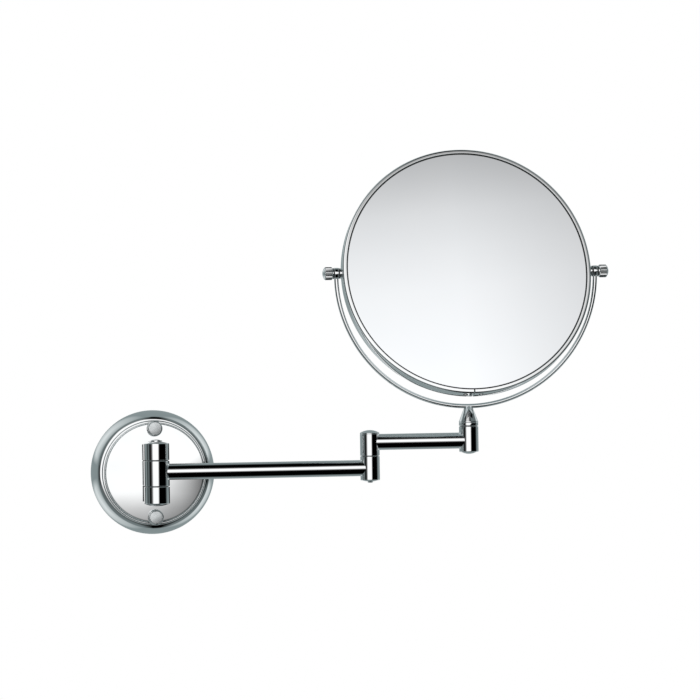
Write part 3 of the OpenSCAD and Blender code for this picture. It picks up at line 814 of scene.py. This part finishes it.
skirt_r = CAP_POCKET_R - RUNNING
inside_top = upper_top + 1.5 * TOP_RIM_H
cap_outline = [(0, inside_top), (skirt_r - SKIRT_WALL, inside_top), (skirt_r - SKIRT_WALL, top_skirt_low),
               (skirt_r, top_skirt_low), (skirt_r, upper_top + RUNNING)]
cap_outline += lower_edge(top_cap_r, upper_top + RUNNING, TOP_CAP_EDGE)
cap_outline += domed(top_cap_r, top_cap_high, ball_of(top_cap_r, TOP_CAP_H - TOP_RIM_H), EDGE, 24)
piece(turned(cap_outline, ELBOW), "elbow_top_cap", chrome)

arm_2_start = ELBOW @ Matrix.Translation((0, 0, arm_2_level))
piece(saddle_tube(arm_2_start, STEM, upper_r, barrel_r), "arm_2_tube", chrome)

stem_r, stem_low, stem_top = turned_size("stem_barrel", STEM)
stem_plug_r, stem_plug_low, stem_plug_high = turned_size("stem_bottom_cap", STEM)
bush_flange_r, bush_low, bush_high = turned_size("stem_bush", STEM)
STEM_BUSH_R = 5
SPINDLE_R = 3.6
SPINDLE_GAP = 0.05
stem_pocket_r = stem_plug_r + RUNNING
stem_outline = rounded([(stem_pocket_r, stem_low), (stem_r, stem_low, BARREL_ROUND),
                        (stem_r, stem_top, BARREL_LIP), (STEM_BUSH_R, stem_top),
                        (STEM_BUSH_R, bush_low), (stem_pocket_r, bush_low)])
stem_spigot = spigot(STEM, 0, extent("stem_barrel", STEM)[0].x, -SPIGOT_ROOT)
piece(group(turned(stem_outline, STEM), stem_spigot), "stem_barrel", chrome)

bush_in = SPINDLE_R + SPINDLE_GAP
bush_outline = rounded([(bush_in, bush_low), (STEM_BUSH_R - RUNNING, bush_low, 0.2),
                        (STEM_BUSH_R - RUNNING, stem_top), (bush_flange_r, stem_top, 0.08),
                        (bush_flange_r, bush_high, 0.08), (bush_in, bush_high)])
piece(turned(bush_outline, STEM), "stem_bush", nylon)

stem_plug = [(0, -stem_plug_high), (stem_plug_r, -stem_plug_high)]
stem_plug += domed(stem_plug_r, -stem_plug_low, ball_of(stem_plug_r, stem_low - stem_plug_low), 0.15)
piece(turned(flipped(stem_plug), STEM), "stem_bottom_cap", chrome)

collar_r, collar_low, collar_high = turned_size("stem_ring", STEM)
piece(turned(bar(collar_r, collar_low, collar_high, 0.4, SPINDLE_R + RUNNING), STEM), "stem_ring", chrome)


# ---------------------------------------------------------------- yoke

ROD_R = 1.8
yoke_low, yoke_high = extent("yoke_rod", PIVOT)
yoke_r = yoke_high.x - ROD_R
yoke_drop = -yoke_low.z - yoke_r - ROD_R
eye_r = yoke_high.y
PIVOT_R = 2.5
EYE_GAP = 0.03
EYE_DRILL = 5
BEND = PIVOT @ Matrix.Translation((0, 0, -yoke_drop)) @ FACING_OUT
SIDES = [PIVOT @ FACING_RIGHT, PIVOT @ Matrix.Rotation(math.pi, 4, "Z") @ FACING_RIGHT]


def bend(radius, around=40, steps=400):
    """The half circle of round rod that carries the mirror, at a given rod radius."""
    return turned(arc((yoke_r, 0), radius, 0, 360 - 360 / around, around - 1), BEND, steps, 180, 180)


yoke = bend(ROD_R)
for side in SIDES:
    joined(yoke, turned(bar(eye_r, yoke_r - ROD_R, yoke_r + ROD_R, 0.5), side))
for side in SIDES:
    bored(yoke, drill(PIVOT_R + EYE_GAP, yoke_r - EYE_DRILL, yoke_r + EYE_DRILL, side))
piece(yoke, "yoke_rod", chrome)

CONE_LAND = 0.8
CONE_TIP_R = 3.1
STEM_HOLE_R = 2
STEM_HOLE_L = 12
rod_level = JOINT_AT["mirror_tilt"].z - yoke_drop - yoke_r - JOINT_AT["stem_swivel"].z
cone_low = collar_high + RUNNING
cone_r = turned_size("stem_cone", STEM)[0]
spindle_low = extent("stem_cone", STEM)[0].z
cone_outline = rounded([(0, spindle_low), (SPINDLE_R, spindle_low, 0.3), (SPINDLE_R, cone_low),
                        (cone_r, cone_low, 0.25), (cone_r, cone_low + CONE_LAND, 0.35),
                        (CONE_TIP_R, rod_level, 0.25), (0, rod_level)])
cone = turned(cone_outline, STEM)
stem_hole = drill(STEM_HOLE_R, spindle_low - OVERSHOOT, spindle_low + STEM_HOLE_L, STEM)
bored(cone, stem_hole, bend(ROD_R + RUNNING))
piece(cone, "stem_cone", chrome)


# ---------------------------------------------------------------- mirror head

HOOP_WALL = 1
HOOP_ROUND = 1.6
LIP_INSET = 3.4
SPLIT = 1.2
HOOP_HOLE_GAP = 0.1
HOOP_DRILL_IN = 6
HOOP_DRILL_OUT = 3
hoop_r = -extent("mirror_hoop", HEAD)[0].x
hoop_half = extent("mirror_hoop", HEAD)[1].z
lip_r = hoop_r - LIP_INSET
inner_r = hoop_r - HOOP_WALL
inner_half = hoop_half - HOOP_WALL
inner_round = HOOP_ROUND - HOOP_WALL
hoop_outline = rounded([(lip_r, inner_half, 0.3), (lip_r, hoop_half, 0.35),
                        (hoop_r, hoop_half, HOOP_ROUND), (hoop_r, -hoop_half, HOOP_ROUND),
                        (lip_r, -hoop_half, 0.35), (lip_r, -inner_half, 0.3),
                        (inner_r, -inner_half, inner_round), (inner_r, inner_half, inner_round)])
half_split = math.degrees(SPLIT / 2 / hoop_r)
hoop = turned(hoop_outline, HEAD, 720, half_split - 90, 360 - 2 * half_split)
for side in SIDES:
    bored(hoop, drill(PIVOT_R + HOOP_HOLE_GAP, hoop_r - HOOP_DRILL_IN, hoop_r + HOOP_DRILL_OUT, side))
piece(hoop, "mirror_hoop", chrome)

LOCK_ANGLE = 3.6
LOCK_HEAD_R = 2.3
LOCK_HEAD_H = 0.6
LOCK_SHANK_R = 1.23
LOCK_SHANK_L = 3
LOCK_SLOT_REACH = 3
LOCK_SLOT_HALF = 0.3
LOCK_SLOT_DEPTH = 0.3


def lock_screw(angle):
    place = HEAD @ Matrix.Rotation(math.radians(angle - 90), 4, "Z") @ FACING_RIGHT
    top = hoop_r + LOCK_HEAD_H
    outline = rounded([(0, hoop_r - LOCK_SHANK_L), (LOCK_SHANK_R, hoop_r - LOCK_SHANK_L),
                       (LOCK_SHANK_R, hoop_r + RUNNING), (LOCK_HEAD_R, hoop_r + RUNNING),
                       (LOCK_HEAD_R, top, 0.3), (0, top)])
    body = turned(outline, place, COARSE)
    slot = block((-LOCK_SLOT_REACH, -LOCK_SLOT_HALF, top - LOCK_SLOT_DEPTH),
                 (LOCK_SLOT_REACH, LOCK_SLOT_HALF, top + OVERSHOOT), place)
    return bored(body, slot)


piece(group(*[lock_screw(LOCK_ANGLE * side) for side in (-1, 1)]), "hoop_lock_screws", steel)

# Width of the black painted shadow ring round the glass, inside the hoop's lip
SHADOW_RING_WIDTH = 1
DISH_STEPS = 60
FLAT_FACING = 0.9
front_low, front_high = extent("front_mirror", HEAD)
glass_r = -front_low.x
shadow_ring_r = lip_r - SHADOW_RING_WIDTH
front_glass = turned(rounded([(0, front_low.z), (glass_r, front_low.z, 0.4), (glass_r, front_high.z, 0.4),
                              (shadow_ring_r, front_high.z), (0, front_high.z)]), HEAD, 512)
rear_low, rear_high = extent("rear_mirror", HEAD)
DISH_T = 2.5
sag = rear_high.z - DISH_T - rear_low.z
dish_r = ball_of(glass_r, sag)
dish_spots = [glass_r * i / DISH_STEPS for i in range(DISH_STEPS + 1)]
dish = [(r, math.sqrt(dish_r ** 2 - r * r) - dish_r) for r in dish_spots]
rear_face = lifted(dish, rear_low.z + sag)
rear_glass = turned(rear_face + lifted(dish, rear_low.z + sag + DISH_T)[::-1], HEAD, 512)


def edged(glass):
    """The ground rim of a glass takes the second finish, and the ring beyond the silvering the third, a black
    painted shadow where the hoop's lip shades the glass.
    """
    back = HEAD.inverted()
    out = HEAD.to_3x3() @ Vector((0, 0, 1))
    for face in glass.data.polygons:
        spot = back @ (face.center / MM)
        if abs(face.normal.dot(out)) < FLAT_FACING:
            face.material_index = 1
        elif spot.xy.length > shadow_ring_r:
            face.material_index = 2


for glass, name in ((front_glass, "front_mirror"), (rear_glass, "rear_mirror")):
    piece(glass, name, silvered, glass_edge, painted_shadow_ring)
    edged(glass)

NYLON_T = 0.5
spacer_r, _, spacer_high = turned_size("pivot_spacers", SIDES[0], "x")
spacer_outline = bar(spacer_r, hoop_r + RUNNING, spacer_high, 0.35, PIVOT_R + RUNNING)
piece(group(*[turned(spacer_outline, side) for side in SIDES]), "pivot_spacers", chrome)
for name in ("inner_washers", "outer_washers"):
    nylon_r, _, nylon_high = turned_size(name, SIDES[0], "x")
    rings = [friction_ring(nylon_r, PIVOT_R + RUNNING, nylon_high - NYLON_T, nylon_high, side)
             for side in SIDES]
    piece(group(*rings), name, nylon)


# ---------------------------------------------------------------- knobs

KNURLS = 24
KNURL_DEPTH = 0.5
KNOB_DOME = 1.6
COLLAR_R = 4.3
COLLAR_H = 0.8
COLLAR_EDGE = 0.2
STEPS_PER_KNURL = 12
KNURL_FLANK = 0.85
KNURL_BEVEL = 0.7
END_BEVEL = 0.6
knob_low, knob_high = extent("knob_right", SIDES[0])
knob_r = knob_high.x


def knob(place):
    """A knurled knob with a bored foot, a collar and a domed end."""
    length = knob_high.z - knob_low.z
    valley = knob_r - KNURL_DEPTH
    shoulder = length - KNOB_DOME
    outline = [(PIVOT_R, shoulder), (PIVOT_R, 0)]
    outline += lower_edge(COLLAR_R, 0, COLLAR_EDGE) + [(COLLAR_R, COLLAR_H)]
    outline += [(valley - 0.1, COLLAR_H), (knob_r, COLLAR_H + KNURL_BEVEL), (knob_r, shoulder - END_BEVEL)]
    outline += domed(valley, length, ball_of(valley, KNOB_DOME), 0.3)
    rows = []
    around = KNURLS * STEPS_PER_KNURL
    for radius, level in outline:
        ring = []
        for k in range(around):
            a = 2 * math.pi * k / around
            from_groove = abs((k / STEPS_PER_KNURL + 0.5) % 1 - 0.5) * 2 * math.pi * knob_r / KNURLS
            cut = max(0, KNURL_DEPTH - KNURL_FLANK * from_groove)
            spot_r = min(radius, knob_r - cut)
            ring.append((spot_r * math.cos(a), spot_r * math.sin(a), level + knob_low.z))
        rows.append(ring)
    return grid(rows, False, place, capped=True)


piece(knob(SIDES[0]), "knob_right", chrome)
piece(knob(SIDES[1]), "knob_left", chrome)


# ---------------------------------------------------------------- camera

CAMERA_AZ = math.radians(-8.3)
CAMERA_EL = math.radians(-0.5)
CAMERA_ROLL = math.radians(0.85)
CAMERA_DISTANCE = 2.5
VIEW_WIDTH = 0.5695
SENSOR = 36
aim = Vector((0.1589, -0.040, 0.0974))

outwards = Vector((math.sin(CAMERA_AZ) * math.cos(CAMERA_EL), -math.cos(CAMERA_AZ) * math.cos(CAMERA_EL),
                   math.sin(CAMERA_EL)))
rightwards = Vector((math.cos(CAMERA_AZ), math.sin(CAMERA_AZ), 0))
camera_data = bpy.data.cameras.new("camera")
camera_data.sensor_width = SENSOR
camera_data.lens = SENSOR * CAMERA_DISTANCE / VIEW_WIDTH
camera_data.clip_end = 20
camera = bpy.data.objects.new("camera", camera_data)
scene_objects.link(camera)
camera.location = aim + outwards * CAMERA_DISTANCE
facing = (-outwards).to_track_quat("-Z", "Y").to_matrix().to_4x4()
camera.rotation_euler = (facing @ Matrix.Rotation(-CAMERA_ROLL, 4, "Z")).to_euler()
bpy.context.scene.camera = camera


# ---------------------------------------------------------------- studio

world = bpy.data.worlds.new("studio")
bpy.context.scene.world = world
bpy.context.scene.view_settings.view_transform = "Standard"
world.use_nodes = True
world.cycles.sampling_method = "NONE"
sky = world.node_tree
sky.nodes.clear()


def sky_node(kind, inputs, **settings):
    return add_node(sky, kind, inputs, **settings)


def maths(operation, first, second=0.0):
    return sky_node("ShaderNodeMath", {0: first, 1: second}, operation=operation).outputs[0]


def curve(value, stops):
    """Brightness along an angle, from (degrees, brightness) stops."""
    low, high = stops[0][0], stops[-1][0]
    share = sky_node("ShaderNodeMapRange", {"Value": value, "From Min": low, "From Max": high}).outputs[0]
    ramp = sky_node("ShaderNodeValToRGB", {"Fac": share})
    elements = ramp.color_ramp.elements
    elements[0].position, elements[1].position = 0, 1
    elements[0].color = (*[stops[0][1]] * 3, 1)
    elements[1].color = (*[stops[-1][1]] * 3, 1)
    for angle, level in stops[1:-1]:
        elements.new((angle - low) / (high - low)).color = (level, level, level, 1)
    return ramp.outputs["Color"]


def dotted(axis):
    return sky_node("ShaderNodeVectorMath", {0: direction, 1: axis}, operation="DOT_PRODUCT").outputs["Value"]


direction = sky_node("ShaderNodeTexCoord", {}).outputs["Generated"]
flat_out = Vector((outwards.x, outwards.y, 0)).normalized()
ahead = dotted(flat_out)
azimuth = maths("DEGREES", maths("ARCTAN2", dotted(rightwards), ahead))
elevation = maths("DEGREES", maths("ARCSINE", dotted((0, 0, 1))))
off_axis = maths("DEGREES", maths("ARCCOSINE", ahead))

# A large softbox over the camera, with soft edges. Its right edge slides outwards higher up
EDGE_SLIDE = 10.5
TOP_LIFT = 12
BOX_GAIN = 1.3
BOX_PEAK = 1.08
slide = maths("MULTIPLY", curve(elevation, [(-3, 0), (3, 0.95), (18, 1), (23, 0.6), (40, 0.6)]), EDGE_SLIDE)
lift = maths("MULTIPLY", curve(azimuth, [(4, 1), (14, 0)]), TOP_LIFT)
left_edge = curve(azimuth, [(-53, 0), (-42, 0.05), (-38, 0.12), (-33, 0.35), (-29, 0.62), (-24, 1)])
right_edge = curve(maths("SUBTRACT", azimuth, slide),
                   [(11, 1), (14.5, 0.78), (18, 0.52), (21.8, 0.17), (25, 0)])
bottom_edge = curve(elevation, [(-20, 0), (-13, 0.15), (-8.4, 0.5), (-5.7, 0.8), (-3, 0.95), (-1, 1)])
top_edge = curve(maths("SUBTRACT", elevation, lift),
                 [(22, 1), (25.6, 0.97), (26.4, 0.93), (27.2, 0.88), (27.9, 0.8), (28.6, 0.7), (29.2, 0.56),
                  (29.8, 0.44), (37, 0.1), (46, 0)])
shaped = maths("MULTIPLY", maths("MULTIPLY", left_edge, right_edge), bottom_edge)
filled = maths("MINIMUM", maths("MULTIPLY", shaped, BOX_GAIN), BOX_PEAK)
softbox = maths("MULTIPLY", filled, top_edge)

# The dim room beside and behind, with soft panels behind the mirror
strip = maths("MULTIPLY", curve(azimuth, [(-82, 0), (-74, 0.2), (-64, 0.06), (-58, 0)]),
              curve(elevation, [(-60, 0), (-40, 1), (40, 1), (60, 0)]))
ROOM_SKEW = 9
beside = maths("SUBTRACT", off_axis, maths("MULTIPLY", curve(azimuth, [(0, 0), (60, 1)]), ROOM_SKEW))
surround = curve(beside, [(80, 0), (86, 0.07), (93, 0.17), (105, 0.28), (150, 0.3), (180, 0.36)])
behind = maths("SUBTRACT", 180, maths("ABSOLUTE", azimuth))
panel_width = curve(behind, [(20, 0), (30, 0.3), (50, 0.5), (66, 0.3), (78, 0)])
panel_height = curve(maths("ABSOLUTE", elevation),
                     [(6, 0), (13, 0.9), (30, 1), (50, 0.6), (72, 0.1), (80, 0)])
panels = maths("MULTIPLY", panel_width, panel_height)
ROOM_TINT = (0.84, 1.0, 1.02)
room = maths("ADD", strip, surround)
room_light = sky_node("ShaderNodeVectorMath", {0: room, 1: ROOM_TINT}, operation="MULTIPLY").outputs[0]
lit = sky_node("ShaderNodeVectorMath", {0: maths("ADD", softbox, panels), 1: room_light}).outputs[0]

# Dim walls wherever neither the upright posts nor the level tubes look from the front
POST_LEVEL = -1.6
TUBE_SIDE = 0.113
from_posts = maths("ABSOLUTE", maths("SUBTRACT", elevation, POST_LEVEL))
from_tubes = maths("ABSOLUTE", maths("SUBTRACT", dotted((1, 0, 0)), TUBE_SIDE))
off_posts = curve(from_posts, [(5, 0), (14, 0.12), (60, 0.2)])
off_tubes = curve(from_tubes, [(0.07, 0), (0.25, 1)])
walls = sky_node("ShaderNodeVectorMath", {0: maths("MULTIPLY", off_posts, off_tubes), 1: ROOM_TINT},
                 operation="MULTIPLY").outputs[0]
tinted = sky_node("ShaderNodeVectorMath", {0: lit, 1: walls}, operation="MAXIMUM").outputs[0]

ray = sky_node("ShaderNodeLightPath", {})
AMBIENT = (0.86, 0.87, 0.88, 1)
reflected = sky_node("ShaderNodeBackground", {"Color": tinted})
ambient = sky_node("ShaderNodeBackground", {"Color": AMBIENT})
white = sky_node("ShaderNodeBackground", {"Color": (1, 1, 1, 1)})
bounced = sky_node("ShaderNodeMixShader", {0: ray.outputs["Is Glossy Ray"], 1: ambient.outputs[0],
                                           2: reflected.outputs[0]})
seen = sky_node("ShaderNodeMixShader", {0: ray.outputs["Is Camera Ray"], 1: bounced.outputs[0],
                                        2: white.outputs[0]})
sky_node("ShaderNodeOutputWorld", {"Surface": seen.outputs[0]})

key_data = bpy.data.lights.new("key", "AREA")
key_data.shape = "RECTANGLE"
key_data.size, key_data.size_y = 1.6, 1.2
key_data.energy = 18
key = bpy.data.objects.new("key", key_data)
scene_objects.link(key)
key.location = (-0.8, -1.8, 1.9)
key.rotation_euler = (aim - key.location).to_track_quat("-Z", "Y").to_euler()
key.visible_glossy = False

FLOOR_LEVEL = -0.6
FLOOR_R = 4.0
FADE_FROM = 0.35 * FLOOR_R
FADE_TO = 0.95 * FLOOR_R
floor_mesh = bpy.data.meshes.new("floor")
floor_work = bmesh.new()
bmesh.ops.create_circle(floor_work, cap_ends=True, segments=128, radius=FLOOR_R)
floor_work.to_mesh(floor_mesh)
floor_work.free()
floor = bpy.data.objects.new("floor", floor_mesh)
scene_objects.link(floor)
floor.location = (aim.x, 0, FLOOR_LEVEL)
floor.visible_glossy = False
ground = Finish("pale_floor")
ground.tint(ground.noise(300, 4), (0.84, 0.84, 0.83), (0.88, 0.88, 0.87))
ground.rough(ground.noise(60, 3), 0.6, 0.75)
ground_radius = ground.add("ShaderNodeVectorMath", {0: ground.space}, operation="LENGTH").outputs["Value"]
fade = ground.spread(ground_radius, 0, 1, FADE_FROM, FADE_TO)
clear = ground.add("ShaderNodeBsdfTransparent", {})
faded = ground.add("ShaderNodeMixShader", {0: fade, 1: ground.shader.outputs[0], 2: clear.outputs[0]})
ground.tree.links.new(faded.outputs[0], ground.tree.nodes["Material Output"].inputs["Surface"])
floor_mesh.materials.append(ground.material)
